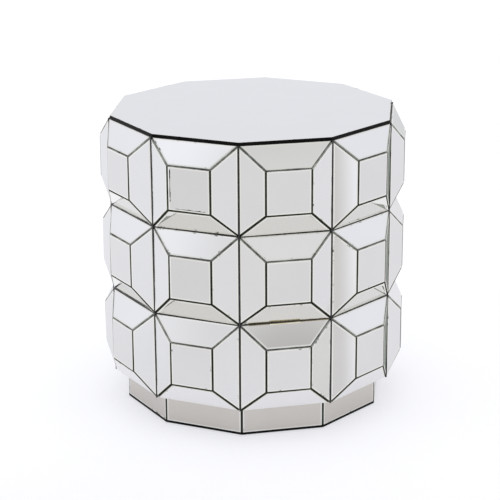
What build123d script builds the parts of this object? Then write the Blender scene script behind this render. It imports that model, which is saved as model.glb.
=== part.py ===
"""Mirrored drum side table: a ten-sided drum of mirror-clad studs on a recessed plinth.

The origin lies on the floor under the middle of the drum, with +Z up. A corner seam of the
drum faces -Y, so the middle of one side faces +X. Every repeated piece is drawn once on the
side that faces +X and is then turned round the axis.
"""

import os
from math import acos, atan, cos, degrees, hypot, pi, sin, tan

from build123d import *

# ---------------------------------------------------------------- driving dimensions, mm

SIDES = 10
TIERS = ("lower", "middle", "upper")

# Drum
drum_corner_radius = 274.0  # axis to a corner seam, where two sides' mirrors meet
tier_height = 165.5  # one row of studs

# Studs
stud_projection = 25.6  # from the valley seams out to the centre mirror
centre_width = 83.6  # flat of a stud, measured between its ridge lines
centre_height = 82.6
stud_backing = 9.0  # block left behind the valley seams

# Mirror glass
glass_thickness = 5.0
ridge_gap = 0.5  # between the inner edges of two mirrors that meet on a ridge
upright_valley_gap = 1.3  # from a left or right mirror's edge to the corner seam
level_valley_gap = 0.7  # from a top or bottom mirror's edge to the line between two rows
top_mirror_thickness = 5.0
top_mirror_inset = 3.0  # corner of the top mirror, inwards from the corner seam
top_mirror_arris = 0.8

# Carcass boards
side_panel_thickness = 12.0
top_board_thickness = 18.0
bottom_board_thickness = 18.0
stiffener_thickness = 12.0
glue_line = 0.3  # between two boards or blocks that meet on a mitre

# Plinth
plinth_recess = 23.2  # from the drum's valley face in to the plinth's mirror face
plinth_panel_thickness = 18.0
plinth_panel_height = 53.0
plinth_mirror_head_gap = 1.0  # above each plinth mirror, below the drum
base_strip_thickness = 4.0
felt_pad_thickness = 1.5
felt_pad_diameter = 16.0

# Corner glue blocks and screws
corner_block_height = 40.0
corner_block_leg = 40.0  # along each side panel from the inner corner
corner_block_cover = 12.0  # wood left on the inner side of the screw
corner_screw_inset = 10.0  # screw centre, inwards from the plinth panel's inner face
plinth_screw_spacing = 80.0  # two screws to each plinth panel
screw_diameter = 4.0
screw_head_diameter = 8.0
screw_head_height = 2.6
counterbore_diameter = 9.0
counterbore_depth = 3.0
corner_screw_length = 38.0
plinth_screw_length = 42.0
screw_clearance = 0.2  # round the shank, and past its end

# ---------------------------------------------------------------- derived geometry

half_angle = pi / SIDES  # half the turn from one side to the next, 18 degrees
corner_angle = degrees(half_angle)  # direction of the first corner seam from +X


def apothem(corner_radius: float) -> float:
    """Distance from the axis to a side of the ten-sided outline."""
    return corner_radius * cos(half_angle)


valley_apothem = apothem(drum_corner_radius)
half_side = drum_corner_radius * sin(half_angle)
half_tier = tier_height / 2
half_centre_width = centre_width / 2
half_centre_height = centre_height / 2

side_run = half_side - half_centre_width  # ridge to valley, flat, left and right facets
rise_run = half_tier - half_centre_height  # the same for the top and bottom facets
side_slope = atan(stud_projection / side_run)
rise_slope = atan(stud_projection / rise_run)
hip_angle = acos(cos(side_slope) * cos(rise_slope))  # between two facets' normals on a hip

carcass_apothem = valley_apothem - stud_backing
inner_apothem = carcass_apothem - side_panel_thickness
plinth_face_apothem = valley_apothem - plinth_recess
plinth_panel_apothem = plinth_face_apothem - glass_thickness
plinth_inner_apothem = plinth_panel_apothem - plinth_panel_thickness

base_strip_bottom = felt_pad_thickness
plinth_bottom = base_strip_bottom + base_strip_thickness
drum_bottom = plinth_bottom + plinth_panel_height
drum_top = drum_bottom + tier_height * len(TIERS)
side_panel_bottom = drum_bottom + bottom_board_thickness
side_panel_top = drum_top - top_board_thickness
tier_middle = {name: drum_bottom + tier_height * (row + 0.5) for row, name in enumerate(TIERS)}

corner_screw_radius = (plinth_inner_apothem - corner_screw_inset) / cos(half_angle)
plinth_screw_apothem = plinth_panel_apothem - plinth_panel_thickness / 2
plinth_screw_places = (
    (plinth_screw_apothem, -plinth_screw_spacing / 2),
    (plinth_screw_apothem, plinth_screw_spacing / 2),
)


# ---------------------------------------------------------------- shared operations


def save(piece: Part, name: str) -> None:
    """Label a finished piece and write its STEP file."""
    piece.label = name
    export_step(piece, f"parts/{name}.step")


def turned(piece: Part, angle: float) -> Part:
    """A copy of a piece, turned about the drum's axis by an angle in degrees."""
    with BuildPart() as copy:
        with Locations(Location((0, 0, 0), (0, 0, angle))):
            add(piece)
    return copy.part


def ring(piece: Part, height: float = 0.0, start: float = 0.0) -> Part:
    """One copy of a piece for each side, as separate solids round the drum's axis."""
    with BuildPart() as group:
        with Locations((0, 0, height)):
            with PolarLocations(0, SIDES, start_angle=start):
                add(piece)
    return group.part


def side_angle(number: int) -> float:
    """Direction of a side, counted anticlockwise from the corner seam that faces -Y."""
    return -90 + corner_angle * (2 * number - 1)


def decagon_board(side_apothem: float, bottom: float, thickness: float) -> Part:
    """A level ten-sided board with its corners on the corner seams' directions."""
    with BuildPart() as board:
        with BuildSketch(Plane.XY.offset(bottom)):
            RegularPolygon(side_apothem, SIDES, major_radius=False, rotation=corner_angle)
        extrude(amount=thickness)
    return board.part


def mitred_board(outer_apothem: float, thickness: float, bottom: float, height: float) -> Part:
    """An upright board on the +X side of a ten-sided ring, with mitred ends."""
    inner = outer_apothem - thickness
    trim = glue_line / 2 / cos(half_angle)
    outer_half = outer_apothem * tan(half_angle) - trim
    inner_half = inner * tan(half_angle) - trim
    with BuildPart() as board:
        with BuildSketch(Plane.XY.offset(bottom)):
            with BuildLine():
                Polyline(
                    (outer_apothem, -outer_half),
                    (outer_apothem, outer_half),
                    (inner, inner_half),
                    (inner, -inner_half),
                    close=True,
                )
            make_face()
        extrude(amount=height)
    return board.part


def screw_head_hole(board_thickness: float) -> None:
    """Bore a board through for a screw, with a counterbore for its head."""
    CounterBoreHole(
        screw_diameter / 2 + screw_clearance,
        counterbore_diameter / 2,
        counterbore_depth,
        depth=board_thickness,
    )


def screw_end_hole(screw_length: float, board_thickness: float) -> None:
    """Bore the piece behind a board for the end of the screw that comes through it."""
    entry = screw_length + counterbore_depth - board_thickness
    Hole(screw_diameter / 2 + screw_clearance, depth=entry + screw_clearance)


# ---------------------------------------------------------------- studs and their mirrors


def make_stud_block() -> Part:
    """The solid block under one stud's five mirrors, at the level of its own middle."""
    front = valley_apothem + stud_projection - glass_thickness
    front_half_width = half_centre_width - glass_thickness * tan(side_slope / 2)
    front_half_height = half_centre_height - glass_thickness * tan(rise_slope / 2)
    trim = glue_line / 2 / cos(half_angle)
    back_half_width = carcass_apothem * tan(half_angle) - trim
    # Where the slope under a side mirror runs out on the mitre with the next block.
    mitre = (front + (trim + front_half_width) * tan(side_slope)) / (
        1 + tan(half_angle) * tan(side_slope)
    )
    mitre_half_width = mitre * tan(half_angle) - trim
    edge = front - (half_tier - front_half_height) * tan(rise_slope)
    with BuildPart() as block:
        with BuildSketch(Plane.XY.offset(-half_tier)):
            with BuildLine():
                Polyline(
                    (carcass_apothem, -back_half_width),
                    (mitre, -mitre_half_width),
                    (front, -front_half_width),
                    (front, front_half_width),
                    (mitre, mitre_half_width),
                    (carcass_apothem, back_half_width),
                    close=True,
                )
            make_face()
        extrude(amount=tier_height)
        with BuildSketch(Plane.XZ):
            with BuildLine():
                Polyline(
                    (carcass_apothem, -half_tier),
                    (edge, -half_tier),
                    (front, -front_half_height),
                    (front, front_half_height),
                    (edge, half_tier),
                    (carcass_apothem, half_tier),
                    close=True,
                )
            make_face()
        extrude(amount=half_side, both=True, mode=Mode.INTERSECT)
    return block.part


def make_centre_mirror() -> Part:
    """The upright mirror on the flat of a stud."""
    with BuildPart() as mirror_plate:
        with BuildSketch(Plane.YZ.offset(valley_apothem + stud_projection)):
            Rectangle(
                centre_width - 2 * glass_thickness * tan(side_slope / 2) - ridge_gap,
                centre_height - 2 * glass_thickness * tan(rise_slope / 2) - ridge_gap,
            )
        extrude(amount=-glass_thickness)
    return mirror_plate.part


def make_facet_mirror(
    direction: Vector,
    half_ridge: float,
    half_valley: float,
    ridge: float,
    slope: float,
    valley_gap: float,
) -> Part:
    """A tapered mirror on one slope of a stud.

    The direction points from the middle of the stud towards the facet. The ridge is the
    distance from the middle to the ridge line, and the slope is the facet's angle to the
    side. The edges are square cut, so each is set back until the backs of two mirrors
    that meet stay a ridge gap apart.
    """
    outward = Vector(1, 0, 0)
    face = Plane(
        origin=direction * ridge + outward * (valley_apothem + stud_projection),
        x_dir=direction * cos(slope) - outward * sin(slope),
        z_dir=direction * sin(slope) + outward * cos(slope),
    )
    length = stud_projection / sin(slope)
    widening = (half_valley - half_ridge) / length
    hip_setback = (glass_thickness * tan(hip_angle / 2) + ridge_gap / 2) * hypot(1, widening)
    start = glass_thickness * tan(slope / 2) + ridge_gap / 2
    end = length - valley_gap
    start_half = half_ridge + widening * start - hip_setback
    end_half = half_ridge + widening * end - hip_setback
    with BuildPart() as mirror_plate:
        with BuildSketch(face):
            with BuildLine():
                Polyline(
                    (start, -start_half),
                    (end, -end_half),
                    (end, end_half),
                    (start, start_half),
                    close=True,
                )
            make_face()
        extrude(amount=-glass_thickness)
    return mirror_plate.part


side_facet = (half_centre_height, half_tier, half_centre_width, side_slope, upright_valley_gap)
rise_facet = (half_centre_width, half_side, half_centre_height, rise_slope, level_valley_gap)
stud_mirrors = {
    "centre": make_centre_mirror(),
    "left": make_facet_mirror(Vector(0, -1, 0), *side_facet),
    "right": make_facet_mirror(Vector(0, 1, 0), *side_facet),
    "top": make_facet_mirror(Vector(0, 0, 1), *rise_facet),
    "bottom": make_facet_mirror(Vector(0, 0, -1), *rise_facet),
}


# ---------------------------------------------------------------- top mirror


def make_top_mirror() -> Part:
    """The level mirror that closes the drum, with a small arris round its upper edge."""
    with BuildPart() as plate:
        with BuildSketch(Plane.XY.offset(drum_top)):
            RegularPolygon(drum_corner_radius - top_mirror_inset, SIDES, rotation=corner_angle)
        extrude(amount=top_mirror_thickness)
        chamfer(plate.faces().sort_by(Axis.Z)[-1].edges(), length=top_mirror_arris)
    return plate.part


# ---------------------------------------------------------------- carcass


def make_top_board() -> Part:
    """The board under the top mirror, bored from above for the corner screws."""
    with BuildPart() as board:
        add(decagon_board(carcass_apothem, side_panel_top, top_board_thickness))
        with Locations((0, 0, drum_top)):
            with PolarLocations(corner_screw_radius, SIDES, start_angle=corner_angle):
                screw_head_hole(top_board_thickness)
    return board.part


def make_bottom_board() -> Part:
    """The floor of the drum, bored from below for the corners and from above for the plinth."""
    with BuildPart() as board:
        add(decagon_board(carcass_apothem, drum_bottom, bottom_board_thickness))
        with Locations(Plane((0, 0, drum_bottom), x_dir=(1, 0, 0), z_dir=(0, 0, -1))):
            with PolarLocations(corner_screw_radius, SIDES, start_angle=corner_angle):
                screw_head_hole(bottom_board_thickness)
        with Locations((0, 0, side_panel_bottom)):
            with PolarLocations(0, SIDES):
                with Locations(*plinth_screw_places):
                    screw_head_hole(bottom_board_thickness)
    return board.part


def make_corner_block(board_thickness: float) -> Part:
    """A glue block on a level board, in the corner of two side panels that points along +X."""
    corner = inner_apothem / cos(half_angle)
    leg_x = corner - corner_block_leg * sin(half_angle)
    leg_y = corner_block_leg * cos(half_angle)
    inner = corner_screw_radius - corner_block_cover
    with BuildPart() as block:
        with BuildSketch():
            with BuildLine():
                Polyline(
                    (corner, 0), (leg_x, leg_y), (inner, leg_y), (inner, -leg_y), (leg_x, -leg_y),
                    close=True,
                )
            make_face()
        extrude(amount=corner_block_height)
        with Locations(Plane((corner_screw_radius, 0, 0), x_dir=(1, 0, 0), z_dir=(0, 0, -1))):
            screw_end_hole(corner_screw_length, board_thickness)
    return block.part


def make_screw(length: float) -> Part:
    """A pan head wood screw hanging from the underside of its head at the origin."""
    with BuildPart() as screw:
        with BuildSketch():
            Circle(screw_head_diameter / 2)
        extrude(amount=screw_head_height)
        with BuildSketch():
            Circle(screw_diameter / 2)
        extrude(amount=-length)
        chamfer(screw.faces().sort_by(Axis.Z)[0].edges(), length=screw_diameter / 4)
    return screw.part


# ---------------------------------------------------------------- plinth


def make_plinth_panel() -> Part:
    """One upright board of the plinth, bored in its top edge for two screws."""
    with BuildPart() as panel:
        add(
            mitred_board(
                plinth_panel_apothem, plinth_panel_thickness, plinth_bottom, plinth_panel_height
            )
        )
        with Locations((0, 0, drum_bottom)):
            with Locations(*plinth_screw_places):
                screw_end_hole(plinth_screw_length, bottom_board_thickness)
    return panel.part


def make_plinth_mirror() -> Part:
    """The mirror on one plinth panel, standing on the base strip."""
    width = 2 * plinth_panel_apothem * tan(half_angle) - ridge_gap
    height = plinth_panel_height - plinth_mirror_head_gap
    with BuildPart() as mirror_plate:
        with BuildSketch(Plane.YZ.offset(plinth_panel_apothem)):
            with Locations((0, plinth_bottom + height / 2)):
                Rectangle(width, height)
        extrude(amount=glass_thickness)
    return mirror_plate.part


def make_felt_pad() -> Part:
    """A felt disc under the middle of a base strip."""
    middle = (plinth_face_apothem + plinth_inner_apothem) / 2
    with BuildPart() as pad:
        with BuildSketch():
            with Locations((middle, 0)):
                Circle(felt_pad_diameter / 2)
        extrude(amount=felt_pad_thickness)
    return pad.part


# ---------------------------------------------------------------- build and write the pieces

os.makedirs("parts", exist_ok=True)

stud_block = make_stud_block()
for tier, middle_height in tier_middle.items():
    save(ring(stud_block, middle_height), f"{tier}_stud_blocks")
    for position, stud_mirror in stud_mirrors.items():
        save(ring(stud_mirror, middle_height), f"{tier}_{position}_mirrors")

save(make_top_mirror(), "top_mirror")
save(make_top_board(), "top_board")
save(make_bottom_board(), "bottom_board")

stiffener_bottom = (side_panel_bottom + side_panel_top - stiffener_thickness) / 2
save(decagon_board(inner_apothem, stiffener_bottom, stiffener_thickness), "stiffener_board")

side_panel = mitred_board(
    carcass_apothem, side_panel_thickness, side_panel_bottom, side_panel_top - side_panel_bottom
)
plinth_mirror = make_plinth_mirror()
for number in range(1, SIDES + 1):
    save(turned(side_panel, side_angle(number)), f"side_panel_{number:02d}")
    save(turned(plinth_mirror, side_angle(number)), f"plinth_mirror_{number:02d}")

save(ring(make_plinth_panel()), "plinth_panels")
base_strip_width = plinth_face_apothem - plinth_inner_apothem
base_strip = mitred_board(
    plinth_face_apothem, base_strip_width, base_strip_bottom, base_strip_thickness
)
save(ring(base_strip), "base_strips")
save(ring(make_felt_pad()), "felt_pads")

with BuildPart() as upper_corner_block:
    with Locations(Location((0, 0, side_panel_top), (180, 0, 0))):
        add(make_corner_block(top_board_thickness))
save(ring(upper_corner_block.part, start=corner_angle), "upper_corner_blocks")
lower_corner_block = make_corner_block(bottom_board_thickness)
save(ring(lower_corner_block, side_panel_bottom, corner_angle), "lower_corner_blocks")

corner_screw = make_screw(corner_screw_length)
with BuildPart() as top_board_screws:
    with Locations((0, 0, drum_top - counterbore_depth)):
        with PolarLocations(corner_screw_radius, SIDES, start_angle=corner_angle):
            add(corner_screw)
save(top_board_screws.part, "top_board_screws")

with BuildPart() as bottom_board_screws:
    with Locations(Location((0, 0, drum_bottom + counterbore_depth), (180, 0, 0))):
        with PolarLocations(corner_screw_radius, SIDES, start_angle=corner_angle):
            add(corner_screw)
save(bottom_board_screws.part, "bottom_board_screws")

plinth_screw = make_screw(plinth_screw_length)
with BuildPart() as plinth_screws:
    with Locations((0, 0, side_panel_bottom - counterbore_depth)):
        with PolarLocations(0, SIDES):
            with Locations(*plinth_screw_places):
                add(plinth_screw)
save(plinth_screws.part, "plinth_screws")
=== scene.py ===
"""Looks of a mirrored drum side table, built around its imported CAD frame.

Every mirror is rebuilt as a real pane: a silvered face with a narrow polished border, ground
edges and a painted back. The seams get their black sealant, and the boards, screws and felt
pads of the carcass keep their CAD shapes and get a finish each. Everything is in metres.
"""

import logging
import math
import random
from collections.abc import Iterable
from dataclasses import dataclass
from enum import Enum

import bmesh
import bpy
from mathutils import Matrix, Vector

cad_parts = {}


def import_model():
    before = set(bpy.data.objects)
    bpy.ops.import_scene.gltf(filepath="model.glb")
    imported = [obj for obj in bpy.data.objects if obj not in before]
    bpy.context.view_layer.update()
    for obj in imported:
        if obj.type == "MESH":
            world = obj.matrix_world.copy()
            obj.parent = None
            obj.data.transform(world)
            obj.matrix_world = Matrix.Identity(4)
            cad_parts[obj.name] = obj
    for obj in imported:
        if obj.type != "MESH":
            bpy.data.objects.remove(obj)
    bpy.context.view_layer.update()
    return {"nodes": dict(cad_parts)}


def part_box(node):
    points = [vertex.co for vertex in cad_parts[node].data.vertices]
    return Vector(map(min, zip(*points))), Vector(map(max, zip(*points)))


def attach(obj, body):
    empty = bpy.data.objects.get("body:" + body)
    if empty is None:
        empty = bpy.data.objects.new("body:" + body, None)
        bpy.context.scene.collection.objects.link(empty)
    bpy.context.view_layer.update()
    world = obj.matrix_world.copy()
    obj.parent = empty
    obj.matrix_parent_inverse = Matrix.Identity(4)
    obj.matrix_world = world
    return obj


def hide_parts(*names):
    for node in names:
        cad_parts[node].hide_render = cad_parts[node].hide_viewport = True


LOG = logging.getLogger("drum_table")
ROOT = "root"
PANE_TONE = "pane_tone"
# The seam beside which shade and light are painted into the panes' silver.
CLOUDED_SEAM = 1
LOST_SILVER_SIDE = -1
# The side whose lowest level seam carries the thin strips, one of them a painted glint.
GLUED_SIDE = 0
NOISE_BODY = (0.3, 0.7)  # where most of a noise's values lie
UP = Vector((0.0, 0.0, 1.0))

Colour = tuple[float, float, float]
Axis = tuple[float, float, float]
Point = tuple[float, float]
Span = tuple[float, float]
Socket = bpy.types.NodeSocket


# ------------------------------------------------------------------ named choices


class Tier(Enum):
    """The rows of studs, from the floor up."""

    LOWER = "lower"
    MIDDLE = "middle"
    UPPER = "upper"


class Facet(Enum):
    """The five mirrors of a stud, as seen from outside."""

    CENTRE = "centre"
    LEFT = "left"
    RIGHT = "right"
    TOP = "top"
    BOTTOM = "bottom"


class PaneSlot(Enum):
    """Material slots of a pane of mirror glass, in order."""

    FACE = 0
    BORDER = 1
    EDGE = 2
    BACK = 3


class RecordSlot(Enum):
    """The record's material slots."""

    MIRROR = "mirror_glass"
    TOP_MIRROR = "top_mirror_glass"
    BLACK_BOARD = "black_painted_board"


# ------------------------------------------------------------------ material helpers


class NodeSheet:
    """A thin wrapper round a node tree that makes, sets and links nodes in one call."""

    def __init__(self, tree: bpy.types.NodeTree) -> None:
        """Keep the node tree of a material or a world, and clear what it starts with."""
        self.tree = tree
        self.tree.nodes.clear()

    def node(
        self, kind: str, settings: dict[str, object] | None = None, **inputs: object
    ) -> bpy.types.Node:
        """Make a node.

        Args:
            kind: the node's type name.
            settings: properties of the node itself, by name.
            **inputs: socket values or source sockets, with underscores for spaces in names.

        Returns:
            The new node.
        """
        made = self.tree.nodes.new(kind)
        for name, value in (settings or {}).items():
            setattr(made, name, value)
        for name, value in inputs.items():
            self.feed(made.inputs[name.replace("_", " ")], value)
        return made

    def feed(self, socket: Socket, value: object) -> None:
        """Link a socket to a source, or set its value.

        Args:
            socket: the input socket.
            value: an output socket, or a plain value.
        """
        if isinstance(value, Socket):
            self.tree.links.new(value, socket)
        else:
            socket.default_value = value

    def pair(self, kind: str, operation: str, first: object, second: object) -> bpy.types.Node:
        """Make a node that works on two inputs.

        Args:
            kind: the node's type name.
            operation: what the node does.
            first: the first input.
            second: the second input.

        Returns:
            The new node.
        """
        made = self.node(kind, {"operation": operation})
        self.feed(made.inputs[0], first)
        self.feed(made.inputs[1], second)
        return made

    def math(self, operation: str, first: object, second: object = 0.0) -> Socket:
        """A Math node's output for two inputs."""
        return self.pair("ShaderNodeMath", operation, first, second).outputs[0]

    def vector(self, operation: str, first: object, second: object = (0.0, 0.0, 0.0)) -> Socket:
        """A Vector Math node's output, where it is a vector."""
        return self.pair("ShaderNodeVectorMath", operation, first, second).outputs["Vector"]

    def length(self, operation: str, first: object, second: object) -> Socket:
        """A Vector Math node's output, where it is a number."""
        return self.pair("ShaderNodeVectorMath", operation, first, second).outputs["Value"]

    def component(self, vector: object, axis: str) -> Socket:
        """One component of a vector."""
        return self.node("ShaderNodeSeparateXYZ", Vector=vector).outputs[axis]

    def attribute(self, name: str) -> Socket:
        """The value of a mesh attribute."""
        return self.node("ShaderNodeAttribute", {"attribute_name": name}).outputs["Fac"]

    def grey(self, level: object) -> Socket:
        """A grey of one level."""
        return self.node("ShaderNodeCombineColor", Red=level, Green=level, Blue=level).outputs[0]

    def ramp(
        self, value: object, low: float, high: float, to_low: float = 0.0, to_high: float = 1.0
    ) -> Socket:
        """A smooth step of a value from one range to another, clamped at both ends.

        Args:
            value: the value to map.
            low: where the step begins.
            high: where the step ends.
            to_low: the result up to the beginning.
            to_high: the result from the end on.

        Returns:
            The result's socket.
        """
        made = self.node(
            "ShaderNodeMapRange",
            {"interpolation_type": "SMOOTHSTEP"},
            Value=value,
            From_Min=low,
            From_Max=high,
            To_Min=to_low,
            To_Max=to_high,
        )
        return made.outputs["Result"]

    def blend(self, factor: object, first: object, second: object, mode: str = "MIX") -> Socket:
        """Mix two colours.

        Args:
            factor: how much of the second colour is taken.
            first: the first colour.
            second: the second colour.
            mode: how the two are mixed.

        Returns:
            The mixed colour's socket.
        """
        made = self.node("ShaderNodeMix", {"data_type": "RGBA", "blend_type": mode})
        self.feed(made.inputs[0], factor)
        self.feed(made.inputs[6], first)
        self.feed(made.inputs[7], second)
        return made.outputs[2]

    def noise(self, where: object, scale: float, detail: float = 3.0, rough: float = 0.5) -> Socket:
        """Make a noise texture.

        Args:
            where: the coordinates.
            scale: how fine the noise is.
            detail: how many finer layers it has.
            rough: how strong the finer layers are.

        Returns:
            The socket of the noise's value.
        """
        made = self.node(
            "ShaderNodeTexNoise", Vector=where, Scale=scale, Detail=detail, Roughness=rough
        )
        return made.outputs[0]

    def bump(self, height: object, strength: float, distance: float) -> Socket:
        """A normal bumped by a height."""
        made = self.node("ShaderNodeBump", Strength=strength, Distance=distance, Height=height)
        return made.outputs[0]


def rgba(colour: Colour) -> tuple[float, float, float, float]:
    """A colour with full alpha."""
    return (*colour, 1.0)


def start_material(name: str) -> tuple[bpy.types.Material, NodeSheet, Socket]:
    """Make an empty material.

    Args:
        name: the material's name.

    Returns:
        The material, its node sheet and the object coordinates' socket.
    """
    material = bpy.data.materials.new(name)
    material.use_nodes = True
    sheet = NodeSheet(material.node_tree)
    where = sheet.node("ShaderNodeTexCoord").outputs["Object"]
    return material, sheet, where


def end_material(sheet: NodeSheet, **inputs: object) -> None:
    """Close a material with a Principled shader that takes the inputs."""
    shader = sheet.node("ShaderNodeBsdfPrincipled", **inputs)
    sheet.node("ShaderNodeOutputMaterial", Surface=shader.outputs[0])


# ------------------------------------------------------------------ finishes


@dataclass(frozen=True)
class SeamCloud:
    """Painted shade and light in the silver beside one upright seam, standing in for a reflection:
    dull at the seam, bright beyond it.

    The cloud reaches further from the seam towards the floor. It fades out between two
    multiples of its reach.
    """

    corner: Point
    dull: Colour = (0.63, 0.615, 0.595)
    bright: Colour = (0.865, 0.87, 0.885)
    reach: float = 0.050
    level: float = 0.47
    drift: float = 0.045
    fade: Span = (1.2, 1.6)

    def tint(self, sheet: NodeSheet, where: Socket, plain: Colour) -> Socket:
        """Colour of the silver, with the painted shade and light.

        Args:
            sheet: the material's node sheet.
            where: the object coordinates.
            plain: the silver's colour away from the seam.

        Returns:
            The colour socket.
        """
        plan = sheet.vector("MULTIPLY", where, (1.0, 1.0, 0.0))
        distance = sheet.length("DISTANCE", plan, (*self.corner, 0.0))
        below = sheet.math("SUBTRACT", self.level, sheet.component(where, "Z"))
        sunk = sheet.math("MULTIPLY", below, self.drift)
        clear = sheet.ramp(sheet.math("SUBTRACT", distance, sunk), 0.0, self.reach)
        cloud = sheet.blend(clear, rgba(self.dull), rgba(self.bright))
        begin, end = self.fade
        beyond = sheet.ramp(distance, self.reach * begin, self.reach * end)
        return sheet.blend(beyond, cloud, rgba(plain))


@dataclass(frozen=True)
class LostSilver:
    """Dark streaks beside the left and lower edges of one pane, where the silver has gone."""

    angle: float
    face: float
    middle: float
    inset: float = 0.0364
    left_reach: Span = (-0.026, 0.037)
    low_reach: Span = (-0.028, 0.034)
    left_width: float = 0.0019
    low_width: float = 0.0010
    colour: Colour = (0.02, 0.022, 0.016)
    dulling: float = 0.4
    depth: float = 0.004
    spread_scale: float = 55.0
    spread_window: Span = (0.35, 0.65)
    least_spread: float = 0.15
    drift_scale: float = 120.0
    drift: float = 0.0004
    softness: float = 0.0004
    taper: float = 0.004

    def mask(self, sheet: NodeSheet, where: Socket) -> Socket:
        """Where the silver has gone.

        Args:
            sheet: the material's node sheet.
            where: the object coordinates.

        Returns:
            A socket that is 1 on the streaks and 0 elsewhere.
        """
        along = sheet.length("DOT_PRODUCT", where, sideways(self.angle))
        out = sheet.length("DOT_PRODUCT", where, outward(self.angle))
        height = sheet.math("SUBTRACT", sheet.component(where, "Z"), self.middle)
        patches = sheet.noise(where, self.spread_scale)
        spread = sheet.ramp(patches, *self.spread_window, self.least_spread, 1.0)
        wide = sheet.math("MULTIPLY", spread, self.left_width)
        left = self._streak(sheet, where, wide, along, height, self.left_reach)
        wide = sheet.math("MULTIPLY", spread, self.low_width)
        low = self._streak(sheet, where, wide, height, along, self.low_reach)
        both = sheet.math("MAXIMUM", left, low)
        on_side = sheet.math("GREATER_THAN", out, self.face - self.depth)
        return sheet.math("MULTIPLY", both, on_side)

    def _streak(
        self,
        sheet: NodeSheet,
        where: Socket,
        breadth: Socket,
        offset: Socket,
        run: Socket,
        reach: Span,
    ) -> Socket:
        """One streak.

        Args:
            sheet: the material's node sheet.
            where: the object coordinates.
            breadth: half the streak's width, from place to place.
            offset: distance from the pane's middle across the streak.
            run: distance from the pane's middle along the streak.
            reach: where the streak begins and ends along its run.

        Returns:
            A socket that is 1 on the streak and 0 elsewhere.
        """
        wobble = sheet.noise(where, self.drift_scale, detail=2.0)
        drift = sheet.ramp(wobble, *NOISE_BODY, -self.drift, self.drift)
        aside = sheet.math("ADD", sheet.math("ADD", offset, self.inset), drift)
        edge = sheet.math("ADD", breadth, self.softness)
        across = sheet.ramp(sheet.math("ABSOLUTE", aside), breadth, edge, 1.0, 0.0)
        start, end = reach
        begun = sheet.ramp(run, start, start + self.taper)
        going = sheet.ramp(run, end - self.taper, end, 1.0, 0.0)
        return sheet.math("MULTIPLY", across, sheet.math("MULTIPLY", begun, going))


@dataclass(frozen=True)
class SilveredGlass:
    """The silvered face of a mirror, with the faint waves and hand marks of real glass.

    Near grazing angles the glass deepens to its own green, from one onset to the other.
    """

    name: str
    tint: Colour
    tone_spread: float = 0.02
    roughness: float = 0.02
    haze: float = 0.03
    wave: float = 0.00002
    lean: float = 0.0
    grazing: Colour = (0.30, 0.345, 0.28)
    onset: Span = (0.88, 0.905)
    sheen: float = 1.0
    film_scale: float = 14.0
    film_window: Span = (0.35, 0.75)
    film_dim: float = 0.985
    smear_scale: float = 38.0
    smear_window: Span = (0.55, 0.8)
    wave_scale: float = 9.0
    cloud: SeamCloud | None = None
    lost: LostSilver | None = None

    def make(self) -> bpy.types.Material:
        """Build the material.

        Returns:
            The material.
        """
        material, sheet, where = start_material(self.name)
        shade = sheet.ramp(sheet.attribute(PANE_TONE), 0.0, 1.0, 1.0 - self.tone_spread, 1.0)
        film = sheet.noise(where, self.film_scale, detail=4.0, rough=0.6)
        film = sheet.ramp(film, *self.film_window, self.film_dim, 1.0)
        level = sheet.math("MULTIPLY", shade, film)
        # Where a cloud is given, painted shade and light standing in for a reflection go into the
        # silver's colour.
        tint = self.cloud.tint(sheet, where, self.tint) if self.cloud else rgba(self.tint)
        colour = sheet.blend(1.0, tint, sheet.grey(level), "MULTIPLY")
        marks = sheet.noise(where, self.smear_scale, detail=6.0, rough=0.65)
        smear = sheet.ramp(marks, *self.smear_window, self.roughness, self.haze)
        if self.lost:
            gone = self.lost.mask(sheet, where)
            colour = sheet.blend(gone, colour, rgba(self.lost.colour))
            smear = sheet.math("ADD", smear, sheet.math("MULTIPLY", gone, self.lost.dulling))
        facing = sheet.node("ShaderNodeLayerWeight", Blend=0.5).outputs["Facing"]
        deep = sheet.ramp(facing, *self.onset)
        end_material(
            sheet,
            Base_Color=sheet.blend(deep, colour, rgba(self.grazing)),
            Metallic=1.0,
            Roughness=smear,
            Specular_Tint=sheet.blend(deep, rgba((self.sheen,) * 3), rgba(self.grazing)),
            Normal=self._normal(sheet, where),
        )
        return material

    def _normal(self, sheet: NodeSheet, where: Socket) -> Socket:
        """The slow waves of the glass, leant down or up where the finish asks for it.

        Args:
            sheet: the material's node sheet.
            where: the object coordinates.

        Returns:
            The normal's socket.
        """
        swell = sheet.noise(where, self.wave_scale, detail=1.0)
        wave = sheet.bump(swell, strength=1.0, distance=self.wave)
        if not self.lean:
            return wave
        return sheet.vector("NORMALIZE", sheet.vector("ADD", wave, (0.0, 0.0, -self.lean)))


@dataclass(frozen=True)
class PolishedBorder:
    """The narrow polished border of a pane, where the silver has begun to lift in places; its tint
    is partly a painted highlight along the bevel.
    """

    name: str
    tint: Colour
    stain: Colour = (0.16, 0.17, 0.14)
    roughness: float = 0.08
    lifted_roughness: float = 0.4
    patch_scale: float = 60.0
    growth: float = 0.16
    lift: Span = (0.62, 0.72)
    dull_window: Span = (0.5, 0.74)

    def make(self) -> bpy.types.Material:
        """Build the material.

        Returns:
            The material.
        """
        material, sheet, where = start_material(self.name)
        age = sheet.math("SUBTRACT", sheet.attribute(PANE_TONE), 0.5)
        grown = sheet.math("MULTIPLY", age, self.growth)
        patch = sheet.noise(where, self.patch_scale, detail=5.0, rough=0.65)
        patch = sheet.math("ADD", patch, grown)
        lifted = sheet.ramp(patch, *self.lift)
        dull = sheet.ramp(patch, *self.dull_window, self.roughness, self.lifted_roughness)
        end_material(
            sheet,
            Base_Color=sheet.blend(lifted, rgba(self.tint), rgba(self.stain)),
            Metallic=1.0,
            Roughness=dull,
        )
        return material


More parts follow.
